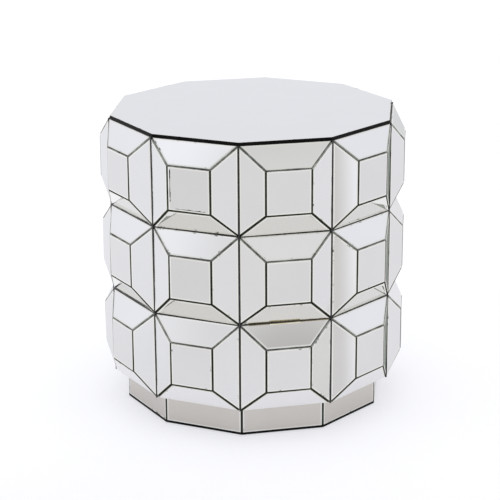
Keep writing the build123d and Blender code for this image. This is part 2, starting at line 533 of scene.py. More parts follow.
@dataclass(frozen=True)
class GroundEdge:
    """The cut and ground edge of float glass, with grinding marks.

    Its colour turns from low to high as the edge turns to face up: light and shade painted by the
    way the edge faces.
    """

    name: str
    low: Colour
    high: Colour
    roughness: float = 0.32
    worn_roughness: float = 0.5
    rise: Span = (0.1, 0.6)
    cloud_scale: float = 45.0
    cloud_level: Span = (0.55, 1.3)
    mark_scale: float = 900.0
    mark_depth: float = 0.0001
    ior: float = 1.52

    def make(self) -> bpy.types.Material:
        """Build the material.

        Returns:
            The material.
        """
        material, sheet, where = start_material(self.name)
        normal = sheet.node("ShaderNodeNewGeometry").outputs["Normal"]
        # Painted light and shade: the colour follows how far the edge faces up.
        risen = sheet.ramp(sheet.component(normal, "Z"), *self.rise)
        colour = sheet.blend(risen, rgba(self.low), rgba(self.high))
        cloud = sheet.noise(where, self.cloud_scale, detail=4.0, rough=0.6)
        level = sheet.ramp(cloud, *NOISE_BODY, *self.cloud_level)
        marks = sheet.noise(where, self.mark_scale, detail=2.0, rough=0.7)
        end_material(
            sheet,
            Base_Color=sheet.blend(1.0, colour, sheet.grey(level), "MULTIPLY"),
            Roughness=sheet.ramp(marks, *NOISE_BODY, self.roughness, self.worn_roughness),
            IOR=self.ior,
            Normal=sheet.bump(marks, strength=0.4, distance=self.mark_depth),
        )
        return material


@dataclass(frozen=True)
class Coating:
    """Paint, lacquer, sealant, and the thin strips in one seam, one a painted glint: a little
    uneven, with a stated gloss.

    Its worn patches are coarser than its grain by the patch ratio.
    """

    name: str
    colour: Colour
    roughness: float
    grain: float
    grain_depth: float
    worn: Colour = (0.05, 0.05, 0.052)
    specular: float = 0.5
    patch_ratio: float = 8.0
    patch_window: Span = (0.45, 0.8)
    dulling: float = 1.35
    ior: float = 1.45

    def make(self) -> bpy.types.Material:
        """Build the material.

        Returns:
            The material.
        """
        material, sheet, where = start_material(self.name)
        patches = sheet.noise(where, self.grain / self.patch_ratio, detail=4.0, rough=0.6)
        worn = sheet.ramp(patches, *self.patch_window)
        grain = sheet.noise(where, self.grain, detail=4.0, rough=0.6)
        dull = self.roughness * self.dulling
        end_material(
            sheet,
            Base_Color=sheet.blend(worn, rgba(self.colour), rgba(self.worn)),
            Roughness=sheet.ramp(grain, *NOISE_BODY, self.roughness, dull),
            IOR=self.ior,
            Specular_IOR_Level=self.specular,
            Normal=sheet.bump(grain, strength=0.5, distance=self.grain_depth),
        )
        return material


@dataclass(frozen=True)
class Fibreboard:
    """Raw medium density fibreboard: warm tan, felted fibres and tiny dark flecks."""

    name: str
    base: Colour = (0.42, 0.29, 0.17)
    fibre: Colour = (0.56, 0.42, 0.27)
    fleck: Colour = (0.20, 0.13, 0.08)
    fibre_scale: float = 420.0
    fibre_depth: float = 0.0003
    fibre_share: float = 0.9
    fleck_scale: float = 1100.0
    fleck_size: Span = (0.66, 0.76)
    cloud_scale: float = 12.0
    cloud_share: float = 0.12
    roughness: float = 0.85

    def make(self) -> bpy.types.Material:
        """Build the material.

        Returns:
            The material.
        """
        material, sheet, where = start_material(self.name)
        fibres = sheet.noise(where, self.fibre_scale, detail=8.0, rough=0.7)
        share = sheet.math("MULTIPLY", fibres, self.fibre_share)
        mixed = sheet.blend(share, rgba(self.base), rgba(self.fibre))
        flecks = sheet.noise(where, self.fleck_scale, detail=2.0, rough=0.8)
        colour = sheet.blend(sheet.ramp(flecks, *self.fleck_size), mixed, rgba(self.fleck))
        cloud = sheet.ramp(sheet.noise(where, self.cloud_scale), *NOISE_BODY, 0.0, self.cloud_share)
        end_material(
            sheet,
            Base_Color=sheet.blend(cloud, colour, rgba(self.fleck)),
            Roughness=self.roughness,
            Normal=sheet.bump(fibres, strength=0.4, distance=self.fibre_depth),
        )
        return material


@dataclass(frozen=True)
class SawnPine:
    """Sawn softwood with growth rings and saw marks."""

    name: str
    early: Colour = (0.62, 0.45, 0.26)
    late: Colour = (0.42, 0.25, 0.11)
    ring_scale: float = 60.0
    ring_wander: float = 2.5
    saw_scale: float = 300.0
    saw_depth: float = 0.0004
    roughness: float = 0.75

    def make(self) -> bpy.types.Material:
        """Build the material.

        Returns:
            The material.
        """
        material, sheet, where = start_material(self.name)
        rings = sheet.node(
            "ShaderNodeTexWave",
            {"wave_type": "RINGS", "rings_direction": "Z"},
            Vector=where,
            Scale=self.ring_scale,
            Distortion=self.ring_wander,
            Detail=3.0,
        ).outputs["Fac"]
        saw = sheet.noise(where, self.saw_scale, detail=5.0, rough=0.7)
        end_material(
            sheet,
            Base_Color=sheet.blend(rings, rgba(self.early), rgba(self.late)),
            Roughness=self.roughness,
            Normal=sheet.bump(saw, strength=0.5, distance=self.saw_depth),
        )
        return material


@dataclass(frozen=True)
class ZincSteel:
    """Zinc plated screw steel, with a faint yellow bloom."""

    name: str
    plate: Colour = (0.62, 0.60, 0.52)
    bloom: Colour = (0.55, 0.47, 0.26)
    bloom_scale: float = 240.0
    bloom_window: Span = (0.35, 0.7)
    scratch_scale: float = 1500.0
    scratch_depth: float = 0.0001
    roughness: Span = (0.28, 0.45)

    def make(self) -> bpy.types.Material:
        """Build the material.

        Returns:
            The material.
        """
        material, sheet, where = start_material(self.name)
        cloud = sheet.noise(where, self.bloom_scale, detail=4.0, rough=0.6)
        bloomed = sheet.ramp(cloud, *self.bloom_window)
        scratches = sheet.noise(where, self.scratch_scale, rough=0.7)
        end_material(
            sheet,
            Base_Color=sheet.blend(bloomed, rgba(self.plate), rgba(self.bloom)),
            Metallic=1.0,
            Roughness=sheet.ramp(scratches, *NOISE_BODY, *self.roughness),
            Normal=sheet.bump(scratches, strength=0.3, distance=self.scratch_depth),
        )
        return material


@dataclass(frozen=True)
class NeedleFelt:
    """Black needle felt for the pads."""

    name: str
    colour: Colour = (0.018, 0.018, 0.02)
    fuzz: Colour = (0.07, 0.07, 0.075)
    fibre_scale: float = 1400.0
    fibre_depth: float = 0.0006
    roughness: float = 0.95
    sheen: float = 0.4

    def make(self) -> bpy.types.Material:
        """Build the material.

        Returns:
            The material.
        """
        material, sheet, where = start_material(self.name)
        fibres = sheet.noise(where, self.fibre_scale, detail=6.0, rough=0.75)
        end_material(
            sheet,
            Base_Color=sheet.blend(fibres, rgba(self.colour), rgba(self.fuzz)),
            Roughness=self.roughness,
            Sheen_Weight=self.sheen,
            Normal=sheet.bump(fibres, strength=0.8, distance=self.fibre_depth),
        )
        return material


# ------------------------------------------------------------------ sizes


@dataclass(frozen=True)
class DrumSizes:
    """Driving sizes of the drum and the geometry worked out from them."""

    sides: int = 10
    corner_radius: float = 0.274
    tier_height: float = 0.1655
    projection: float = 0.0256
    centre_width: float = 0.0836
    centre_height: float = 0.0826
    glass: float = 0.005
    ridge_gap: float = 0.0005
    upright_valley_gap: float = 0.0013
    level_valley_gap: float = 0.0007
    top_inset: float = 0.003
    plinth_recess: float = 0.0232

    @property
    def half_angle(self) -> float:
        """Half the turn from one side to the next."""
        return math.pi / self.sides

    @property
    def valley_apothem(self) -> float:
        """Distance from the axis to a side, at the valley seams."""
        return self.corner_radius * math.cos(self.half_angle)

    @property
    def half_side(self) -> float:
        """Half the width of a side, from corner seam to corner seam."""
        return self.corner_radius * math.sin(self.half_angle)

    @property
    def side_slope(self) -> float:
        """Angle of the left and right facets to the side."""
        return math.atan(self.projection / (self.half_side - self.centre_width / 2))

    @property
    def rise_slope(self) -> float:
        """Angle of the top and bottom facets to the side."""
        return math.atan(self.projection / (self.tier_height / 2 - self.centre_height / 2))

    @property
    def hip_angle(self) -> float:
        """Angle between the normals of two facets that meet on a hip."""
        return math.acos(math.cos(self.side_slope) * math.cos(self.rise_slope))

    def seam_corner(self, side: int) -> Point:
        """Where the upright seam before a side stands, in plan."""
        angle = self.side_angles()[side] - self.half_angle
        return (self.corner_radius * math.cos(angle), self.corner_radius * math.sin(angle))

    def side_angles(self) -> list[float]:
        """Directions of the sides' middles, anticlockwise from the seam that faces -Y."""
        return [-math.pi / 2 + self.half_angle * (2 * n + 1) for n in range(self.sides)]


def outward(angle: float) -> Vector:
    """The level direction away from the axis at an angle."""
    return Vector((math.cos(angle), math.sin(angle), 0.0))


def sideways(angle: float) -> Vector:
    """The level direction along a side at an angle, anticlockwise."""
    return Vector((-math.sin(angle), math.cos(angle), 0.0))


# ------------------------------------------------------------------ panes of mirror glass


@dataclass(frozen=True)
class PaneCut:
    """The outline of a pane in its own plane, and where that plane lies on the +X side.

    The outline runs anticlockwise seen from outside. In the plane, z points outwards.
    """

    outline: tuple[Point, ...]
    place: Matrix


@dataclass
class PaneMaker:
    """Cuts panes of mirror glass and gathers them in one mesh.

    A pane's front edge has a small chamfer, the arris, with a polished border inside it that
    falls a little towards it. A pane may lean from its bed by up to the tilt, in radians.
    """

    thickness: float
    arris: float
    border: float
    border_drop: float
    seed: int
    tilt: float = 0.0
    sink_share: float = 0.7

    def __post_init__(self) -> None:
        """Start the random draws and the shared mesh."""
        self.draw = random.Random(self.seed)
        self.mesh = bmesh.new()
        self.mesh.faces.layers.float.new(PANE_TONE)

    def add(self, cut: PaneCut, turn: Matrix) -> None:
        """Cut one pane and set it in place.

        Args:
            cut: the outline and its plane.
            turn: the turn and lift that take the pane from the +X side to its own.
        """
        pane = bmesh.new()
        tone = pane.faces.layers.float.new(PANE_TONE)
        front = pane.faces.new([pane.verts.new((x, y, 0.0)) for x, y in cut.outline])
        back = bmesh.ops.extrude_face_region(pane, geom=[front])["geom"]
        lowered = [part for part in back if isinstance(part, bmesh.types.BMVert)]
        bmesh.ops.translate(pane, verts=lowered, vec=(0.0, 0.0, -self.thickness))
        self._finish_front(pane)
        bmesh.ops.recalc_face_normals(pane, faces=pane.faces)
        draw_tone = self.draw.random()
        for face in pane.faces:
            face[tone] = draw_tone
        bmesh.ops.transform(pane, verts=pane.verts, matrix=turn @ cut.place @ self._lean(cut))
        gather(pane, self.mesh)

    def _finish_front(self, pane: bmesh.types.BMesh) -> None:
        """Polish the front: the arris, the border inside it, and each face's slot.

        Args:
            pane: the plain slab of glass, with its front at z = 0.
        """
        front = max(pane.faces, key=face_height)
        bmesh.ops.bevel(
            pane,
            geom=list(front.edges),
            offset=self.arris,
            offset_type="OFFSET",
            segments=1,
            profile=0.5,
            affect="EDGES",
            material=-1,
        )
        front = max(pane.faces, key=face_height)
        ring = bmesh.ops.inset_region(
            pane, faces=[front], thickness=self.border, use_even_offset=True
        )["faces"]
        inner = set(front.verts)
        outer = {v for face in ring for v in face.verts} - inner
        bmesh.ops.translate(pane, verts=list(outer), vec=(0.0, 0.0, -self.border_drop))
        for face in pane.faces:
            if face is front:
                face.material_index = PaneSlot.FACE.value
            elif face in ring:
                face.material_index = PaneSlot.BORDER.value
            elif max(v.co.z for v in face.verts) < -self.thickness / 2:
                face.material_index = PaneSlot.BACK.value
            else:
                face.material_index = PaneSlot.EDGE.value

    def _lean(self, cut: PaneCut) -> Matrix:
        """A small lean about the pane's middle, sunk so that no corner stands proud.

        Args:
            cut: the pane's outline and plane.

        Returns:
            The lean, in the pane's own plane.
        """
        if not self.tilt:
            return Matrix.Identity(4)
        middle = Vector((0.0, 0.0, 0.0))
        for x, y in cut.outline:
            middle += Vector((x, y, 0.0)) / len(cut.outline)
        reach = max(math.hypot(x - middle.x, y - middle.y) for x, y in cut.outline)
        lean_x = self.draw.uniform(-self.tilt, self.tilt)
        lean_y = self.draw.uniform(-self.tilt, self.tilt)
        sink = reach * max(abs(lean_x), abs(lean_y)) * self.sink_share
        return (
            Matrix.Translation(middle - Vector((0.0, 0.0, sink)))
            @ Matrix.Rotation(lean_x, 4, "X")
            @ Matrix.Rotation(lean_y, 4, "Y")
            @ Matrix.Translation(-middle)
        )

    def close(self, name: str, finishes: Iterable[bpy.types.Material]) -> bpy.types.Object:
        """Turn the gathered panes into an object, with a material for each pane slot."""
        return mesh_object(name, self.mesh, finishes)


def face_height(face: bmesh.types.BMFace) -> float:
    """Height of a face's middle."""
    return face.calc_center_median().z


def gather(piece: bmesh.types.BMesh, shape: bmesh.types.BMesh) -> None:
    """Move a finished bmesh into another one.

    Args:
        piece: the finished bmesh, which is freed.
        shape: the bmesh that takes it in.
    """
    loose = bpy.data.meshes.new("loose")
    piece.to_mesh(loose)
    piece.free()
    shape.from_mesh(loose)
    bpy.data.meshes.remove(loose)


def mesh_object(
    name: str, shape: bmesh.types.BMesh, finishes: Iterable[bpy.types.Material]
) -> bpy.types.Object:
    """Put a bmesh in a new object at the origin.

    Args:
        name: the object's name.
        shape: the finished bmesh, which is freed.
        finishes: the object's materials, in slot order.

    Returns:
        The new object.
    """
    mesh = bpy.data.meshes.new(name)
    shape.to_mesh(mesh)
    shape.free()
    for finish in finishes:
        mesh.materials.append(finish)
    made = bpy.data.objects.new(name, mesh)
    bpy.context.scene.collection.objects.link(made)
    return made


@dataclass(frozen=True)
class GlassFinishes:
    """The materials that a pane of mirror can take."""

    clouded: bpy.types.Material
    stained: bpy.types.Material
    upper: bpy.types.Material
    under: bpy.types.Material
    rim: bpy.types.Material
    centre: bpy.types.Material
    plinth: bpy.types.Material
    top: bpy.types.Material
    border: bpy.types.Material
    plinth_border: bpy.types.Material
    edge: bpy.types.Material
    pale_edge: bpy.types.Material
    deep_edge: bpy.types.Material
    back: bpy.types.Material
    band: bpy.types.Material

    @classmethod
    def make(cls, sizes: DrumSizes) -> "GlassFinishes":
        """Build every material of the panes.

        Args:
            sizes: the drum's sizes.

        Returns:
            The materials.
        """
        low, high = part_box(f"{Tier.UPPER.value}_stud_blocks")
        side = sizes.side_angles()[LOST_SILVER_SIDE]
        face = sizes.valley_apothem + sizes.projection
        lost = LostSilver(side, face, (low[2] + high[2]) / 2)
        corner = sizes.seam_corner(CLOUDED_SEAM)
        # Painted reflection: shade at the seam and light beyond it, on the left-hand panes beside
        # one seam.
        cloud = SeamCloud(corner)
        # Painted shade: the lowest right-hand pane beside the same seam is painted darker, standing
        # in for a darker reflection.
        stain = SeamCloud(corner, (0.655, 0.653, 0.620), (0.735,) * 3, level=0.235, drift=2.0)
        # The panes are all one silvered glass; their tints differ by facet as painted light and
        # shade: the upper panes are painted lighter, the centre panes darker, and the plinth panes
        # darker and warm, standing in for the shade on the floor under the drum.
        return cls(
            clouded=SilveredGlass("clouded_mirror", (0.735,) * 3, cloud=cloud).make(),
            stained=SilveredGlass("stained_mirror", (0.735,) * 3, cloud=stain).make(),
            upper=SilveredGlass(
                "upper_mirror", (0.865,) * 3, onset=(0.82, 1.0), sheen=0.86
            ).make(),
            under=SilveredGlass(
                "under_mirror", (0.778, 0.769, 0.733), lean=0.175, onset=(0.80, 1.02)
            ).make(),
            rim=SilveredGlass("rim_mirror", (0.80, 0.795, 0.805), lean=-0.22).make(),
            centre=SilveredGlass("centre_mirror", (0.706, 0.702, 0.698), lost=lost).make(),
            plinth=SilveredGlass("plinth_mirror", (0.580, 0.552, 0.516)).make(),
            top=SilveredGlass("top_mirror", (0.785, 0.785, 0.779), wave=0.00001).make(),
            # The borders are tinted lighter than most faces, and the plinth's far lighter than its
            # face: painted highlights along the bevels.
            border=PolishedBorder("mirror_border", (0.80, 0.79, 0.75)).make(),
            plinth_border=PolishedBorder("plinth_border", (0.74, 0.73, 0.70)).make(),
            # The three edges are lit and shaded copies of one ground edge: the top panes' edges are
            # painted pale, and the bottom panes' edges dark where they face up.
            edge=GroundEdge("ground_edge", (0.075, 0.09, 0.06), (0.42, 0.43, 0.40)).make(),
            pale_edge=GroundEdge("pale_edge", (0.40, 0.42, 0.38), (0.46, 0.47, 0.43)).make(),
            deep_edge=GroundEdge("deep_edge", (0.28, 0.27, 0.21), (0.035, 0.045, 0.028)).make(),
            back=Coating(
                "backing_paint", (0.03,) * 3, roughness=0.6, grain=300.0, grain_depth=0.0001
            ).make(),
            band=Coating(
                "black_edge_band",
                (0.003,) * 3,
                roughness=0.25,
                grain=120.0,
                grain_depth=0.00002,
                worn=(0.012,) * 3,
                specular=0.06,
            ).make(),
        )


@dataclass
class StudMirrors:
    """The five sets of mirrors that clad each tier's studs."""

    sizes: DrumSizes
    arris: float = 0.0006
    border: float = 0.0022
    border_drop: float = 0.00025
    tilt: float = math.radians(0.35)
    tier_seeds: int = 100

    def cut(self, facet: Facet) -> PaneCut:
        """Outline and plane of a facet's pane on the +X side, with the tier's middle at z = 0."""
        return self._centre_cut() if facet is Facet.CENTRE else self._sloping_cut(facet)

    def _centre_cut(self) -> PaneCut:
        """Cut the upright pane in the middle of a stud.

        Returns:
            The pane's outline and plane.
        """
        s = self.sizes
        half_y = s.centre_width / 2 - s.glass * math.tan(s.side_slope / 2) - s.ridge_gap / 2
        half_z = s.centre_height / 2 - s.glass * math.tan(s.rise_slope / 2) - s.ridge_gap / 2
        return upright_cut(half_y, half_z, s.valley_apothem + s.projection, 0.0)

    def _sloping_cut(self, facet: Facet) -> PaneCut:
        """Cut one of the four sloping panes of a stud.

        Args:
            facet: which of the four.

        Returns:
            The pane's outline and plane.
        """
        s = self.sizes
        out = Vector((1.0, 0.0, 0.0))
        face = s.valley_apothem + s.projection
        towards = {
            Facet.LEFT: Vector((0.0, -1.0, 0.0)),
            Facet.RIGHT: Vector((0.0, 1.0, 0.0)),
            Facet.TOP: Vector((0.0, 0.0, 1.0)),
            Facet.BOTTOM: Vector((0.0, 0.0, -1.0)),
        }[facet]
        if facet in (Facet.LEFT, Facet.RIGHT):
            slope, ridge, valley_gap = s.side_slope, s.centre_width / 2, s.upright_valley_gap
            half_ridge, half_valley = s.centre_height / 2, s.tier_height / 2
        else:
            slope, ridge, valley_gap = s.rise_slope, s.centre_height / 2, s.level_valley_gap
            half_ridge, half_valley = s.centre_width / 2, s.half_side
        length = s.projection / math.sin(slope)
        widening = (half_valley - half_ridge) / length
        hip_setback = s.glass * math.tan(s.hip_angle / 2) + s.ridge_gap / 2
        hip_setback *= math.hypot(1.0, widening)
        start = s.glass * math.tan(slope / 2) + s.ridge_gap / 2
        end = length - valley_gap
        start_half = half_ridge + widening * start - hip_setback
        end_half = half_ridge + widening * end - hip_setback
        outline = ((start, -start_half), (end, -end_half), (end, end_half), (start, start_half))
        down_slope = towards * math.cos(slope) - out * math.sin(slope)
        normal = towards * math.sin(slope) + out * math.cos(slope)
        return PaneCut(outline, plane_matrix(towards * ridge + out * face, down_slope, normal))

    def build(self, tier: Tier, facet: Facet, glass: GlassFinishes) -> bpy.types.Object:
        """Make one tier's mirrors for one facet, all the way round.

        Args:
            tier: the row of studs.
            facet: which of the five mirrors.
            glass: the pane finishes.

        Returns:
            The new object.
        """
        low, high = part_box(f"{tier.value}_stud_blocks")
        middle = (low[2] + high[2]) / 2
        seed = self.tier_seeds * list(Tier).index(tier) + list(Facet).index(facet)
        maker = PaneMaker(
            self.sizes.glass, self.arris, self.border, self.border_drop, seed, self.tilt
        )
        cut = self.cut(facet)
        for angle in self.sizes.side_angles():
            turn = Matrix.Translation((0.0, 0.0, middle)) @ Matrix.Rotation(angle, 4, "Z")
            maker.add(cut, turn)
        under = glass.rim if tier is Tier.LOWER else glass.under
        face = {
            Facet.CENTRE: glass.centre,
            Facet.LEFT: glass.clouded,
            Facet.RIGHT: glass.stained,
            Facet.TOP: glass.upper,
            Facet.BOTTOM: under,
        }[facet]
        edge = {Facet.TOP: glass.pale_edge, Facet.BOTTOM: glass.deep_edge}.get(facet, glass.edge)
        name = f"{tier.value}_{facet.value}_panes"
        return maker.close(name, (face, glass.border, edge, glass.back))


def upright_cut(half_y: float, half_z: float, face: float, height: float) -> PaneCut:
    """Cut an upright oblong pane for the +X side.

    Args:
        half_y: half its width.
        half_z: half its height.
        face: distance of its face from the axis.
        height: height of its middle.

    Returns:
        The pane's outline and plane.
    """
    out = Vector((1.0, 0.0, 0.0))
    outline = ((-half_y, -half_z), (half_y, -half_z), (half_y, half_z), (-half_y, half_z))
    middle = out * face + UP * height
    return PaneCut(outline, plane_matrix(middle, Vector((0.0, 1.0, 0.0)), out))


def plane_matrix(origin: Vector, x_axis: Vector, z_axis: Vector) -> Matrix:
    """Place a plane.

    Args:
        origin: the plane's origin.
        x_axis: its x direction.
        z_axis: its outward normal.

    Returns:
        The placement.
    """
    y_axis = z_axis.cross(x_axis)
    matrix = Matrix((x_axis, y_axis, z_axis)).transposed().to_4x4()
    matrix.translation = origin
    return matrix


@dataclass
class PlinthMirrors:
    """The upright mirrors round the plinth."""

    sizes: DrumSizes
    arris: float = 0.0006
    border: float = 0.0022
    border_drop: float = 0.0002
    seed: int = 400

    def build(self, number: int, angle: float, glass: GlassFinishes) -> bpy.types.Object:
        """Make the mirror of one side of the plinth.

        Args:
            number: the side's number, as in the frame.
            angle: the side's direction.
            glass: the pane finishes.

        Returns:
            The new object.
        """
        s = self.sizes
        low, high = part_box(f"plinth_mirror_{number:02d}")
        face = s.valley_apothem - s.plinth_recess
        half_y = (face - s.glass) * math.tan(s.half_angle) - s.ridge_gap / 2
        cut = upright_cut(half_y, (high[2] - low[2]) / 2, face, (low[2] + high[2]) / 2)
        maker = PaneMaker(
            s.glass, self.arris, self.border, self.border_drop, self.seed + number
        )
        maker.add(cut, Matrix.Rotation(angle, 4, "Z"))
        finishes = (glass.plinth, glass.plinth_border, glass.edge, glass.back)
        return maker.close(f"plinth_pane_{number:02d}", finishes)


@dataclass
class TopMirror:
    """The level mirror on top, with its black edge band."""

    sizes: DrumSizes
    arris: float = 0.0006
    border: float = 0.0016
    border_drop: float = 0.0001
    seed: int = 500

    def build(self, glass: GlassFinishes) -> bpy.types.Object:
        """Make the top mirror.

        Args:
            glass: the pane finishes.

        Returns:
            The new object.
        """
        s = self.sizes
        low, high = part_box("top_mirror")
        radius = s.corner_radius - s.top_inset
        corners = [-math.pi / 2 + 2 * s.half_angle * n for n in range(s.sides)]
        outline = tuple((radius * math.cos(a), radius * math.sin(a)) for a in corners)
        place = Matrix.Translation((0.0, 0.0, high[2]))
        maker = PaneMaker(
            high[2] - low[2], self.arris, self.border, self.border_drop, self.seed
        )
        maker.add(PaneCut(outline, place), Matrix.Identity(4))
        return maker.close("top_pane", (glass.top, glass.border, glass.band, glass.back))


# ------------------------------------------------------------------ sealant in the seams


@dataclass(frozen=True)
class SeamRun:
    """A straight seam: its two ends and the outward direction."""

    start: Vector
    end: Vector
    out: Vector


@dataclass(frozen=True)
class GlueLine:
    """A thin coloured strip along the level seam over one side's lowest stud; the pale cream one is
    a painted glint.

    It lies under the seam by the drop, and its span runs from the side's middle.
    """

    name: str
    drop: float
    span: Span
    thin: float
    thick: float
    proud: float
    finish: Coating
    depth: float = 0.002
    wander: float = 0.0002


@dataclass
class SeamSealant:
    """Beads of black sealant in the valleys between studs, laid by hand."""

    sizes: DrumSizes
    thin: float = 0.0012
    thick: float = 0.0021
    depth: float = 0.0030
    proud: float = 0.0001
    wander: float = 0.0005
    bulge: float = 0.35
    lift: Span = (-1.0, 0.3)
    steps: int = 14
    upright_seed: int = 61
    level_seed: int = 62
    glue_seed: int = 63

    def upright_seams(self, finish: bpy.types.Material) -> bpy.types.Object:
        """Lay beads down the corner seams of the drum, one to each tier.

        Args:
            finish: the sealant's material.

        Returns:
            The new object.
        """
        seams = []
        for tier in Tier:
            low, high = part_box(f"{tier.value}_stud_blocks")
            for angle in self.sizes.side_angles():
                out = outward(angle - self.sizes.half_angle)
                foot = out * self.sizes.corner_radius
                seams.append(SeamRun(foot + UP * low[2], foot + UP * high[2], out))
        return self._lay("upright_seam_sealant", seams, self.upright_seed, finish)

    def level_seams(self, finish: bpy.types.Material) -> bpy.types.Object:
        """Lay beads round the drum between one tier and the next.

        Args:
            finish: the sealant's material.

        Returns:
            The new object.
        """
        whole = (-self.sizes.half_side, self.sizes.half_side)
        seams = [
            self._level_run(tier, angle, 0.0, whole)
            for tier in (Tier.LOWER, Tier.MIDDLE)
            for angle in self.sizes.side_angles()
        ]
        return self._lay("level_seam_sealant", seams, self.level_seed, finish)

    def glue_line(self, line: GlueLine) -> bpy.types.Object:
        """Lay one of the thin strips.

        Args:
            line: the strip's own place, with its material.

        Returns:
            The new object.
        """
        angle = self.sizes.side_angles()[GLUED_SIDE]
        seam = self._level_run(Tier.LOWER, angle, line.drop, line.span)
        return self._lay(line.name, [seam], self.glue_seed, line.finish.make())

    def _level_run(self, tier: Tier, angle: float, drop: float, span: Span) -> SeamRun:
        """Part of the level seam over one side's stud.

        Args:
            tier: the row of studs under the seam.
            angle: the side's direction.
            drop: how far the run lies under the seam.
            span: where the run begins and ends, from the side's middle.

        Returns:
            The run.
        """
        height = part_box(f"{tier.value}_stud_blocks")[1][2] - drop
        out, along = outward(angle), sideways(angle)
        middle = out * self.sizes.valley_apothem + UP * height
        start, end = (middle + along * reach for reach in span)
        return SeamRun(start, end, out)

    def _lay(
        self, name: str, seams: Iterable[SeamRun], seed: int, finish: bpy.types.Material
    ) -> bpy.types.Object:
        """Lay a bead in every seam, as one object.

        Args:
            name: the object's name.
            seams: where the beads run.
            seed: seed of the random draws.
            finish: the beads' material.

        Returns:
            The new object.
        """
        draw = random.Random(seed)
        shape = bmesh.new()
        for seam in seams:
            gather(self._bead(seam, draw), shape)
        return mesh_object(name, shape, [finish])

    def _bead(self, seam: SeamRun, draw: random.Random) -> bmesh.types.BMesh:
        """Make one bead: a half-round strip that wanders a little in width and depth.

        Args:
            seam: where the bead runs.
            draw: the source of random draws.

        Returns:
            The bead.
        """
        bead = bmesh.new()
        run = seam.end - seam.start
        across = run.normalized().cross(seam.out)
        half_width = draw.uniform(self.thin, self.thick)
        section = [math.pi * share for share in (0.0, 0.25, 0.5, 0.75, 1.0, 1.5)]
        corners = []
        for turn in section:
            rise = half_width * self.bulge * math.sin(turn) - self.depth * (turn > math.pi)
            place = seam.start + across * (half_width * math.cos(turn)) + seam.out * rise
            corners.append(bead.verts.new(place))
        end = bead.faces.new(corners)
        for _ in range(self.steps):
            grown = bmesh.ops.extrude_face_region(bead, geom=[end])["geom"]
            moved = [part for part in grown if isinstance(part, bmesh.types.BMVert)]
            bmesh.ops.translate(bead, verts=moved, vec=run / self.steps)
            end = next(part for part in grown if isinstance(part, bmesh.types.BMFace))
        bmesh.ops.translate(bead, verts=bead.verts, vec=seam.out * self.proud)
        self._vary(bead, seam, across, draw)
        bmesh.ops.recalc_face_normals(bead, faces=bead.faces)
        return bead

    def _vary(
        self, bead: bmesh.types.BMesh, seam: SeamRun, across: Vector, draw: random.Random
    ) -> None:
        """Vary a bead's width and height along its run.

        Args:
            bead: the bead.
            seam: where the bead runs.
            across: the direction across the seam.
            draw: the source of random draws.
        """
        run = seam.end - seam.start
        widths = [draw.uniform(-1.0, 1.0) for _ in range(self.steps + 2)]
        lifts = [draw.uniform(*self.lift) for _ in range(self.steps + 2)]
        for vert in bead.verts:
            offset = vert.co - seam.start
            step = offset.dot(run) / run.length_squared * self.steps
            index = max(0, min(self.steps, round(step)))
            side = math.copysign(1.0, offset.dot(across))
            vert.co += across * (side * widths[index] * self.wander / 2)
            vert.co += seam.out * (lifts[index] * self.wander)


# ------------------------------------------------------------------ carcass


@dataclass
class Carcass:
    """CAD nodes that keep their shape, each with its own finish."""

    nodes: dict[str, bpy.types.Object]

    def dress(self, finish: bpy.types.Material, *starts: str) -> None:
        """Give a finish to every CAD node whose name starts with one of the words.

        Args:
            finish: the material.
            *starts: the first words of the nodes' names.
        """
        for name, node in self.nodes.items():
            if name.startswith(starts):
                node.data.materials.clear()
                node.data.materials.append(finish)
                LOG.info("dressed %s in %s", name, finish.name)


# ------------------------------------------------------------------ studio


@dataclass(frozen=True)
class SoftPatch:
    """A soft-edged patch of light or shade on the studio walls."""

    azimuth: float
    elevation: float
    inner: float
    outer: float
    colour: Colour

    def direction(self) -> Vector:
        """The patch's middle as a direction. Azimuth 0 is -Y, and turns towards +X."""
        a, e = math.radians(self.azimuth), math.radians(self.elevation)
        return Vector((math.sin(a) * math.cos(e), -math.cos(a) * math.cos(e), math.sin(e)))

    def spread(self) -> Span:
        """Cosines of the patch's outer and inner half-angles."""
        return math.cos(math.radians(self.outer)), math.cos(math.radians(self.inner))


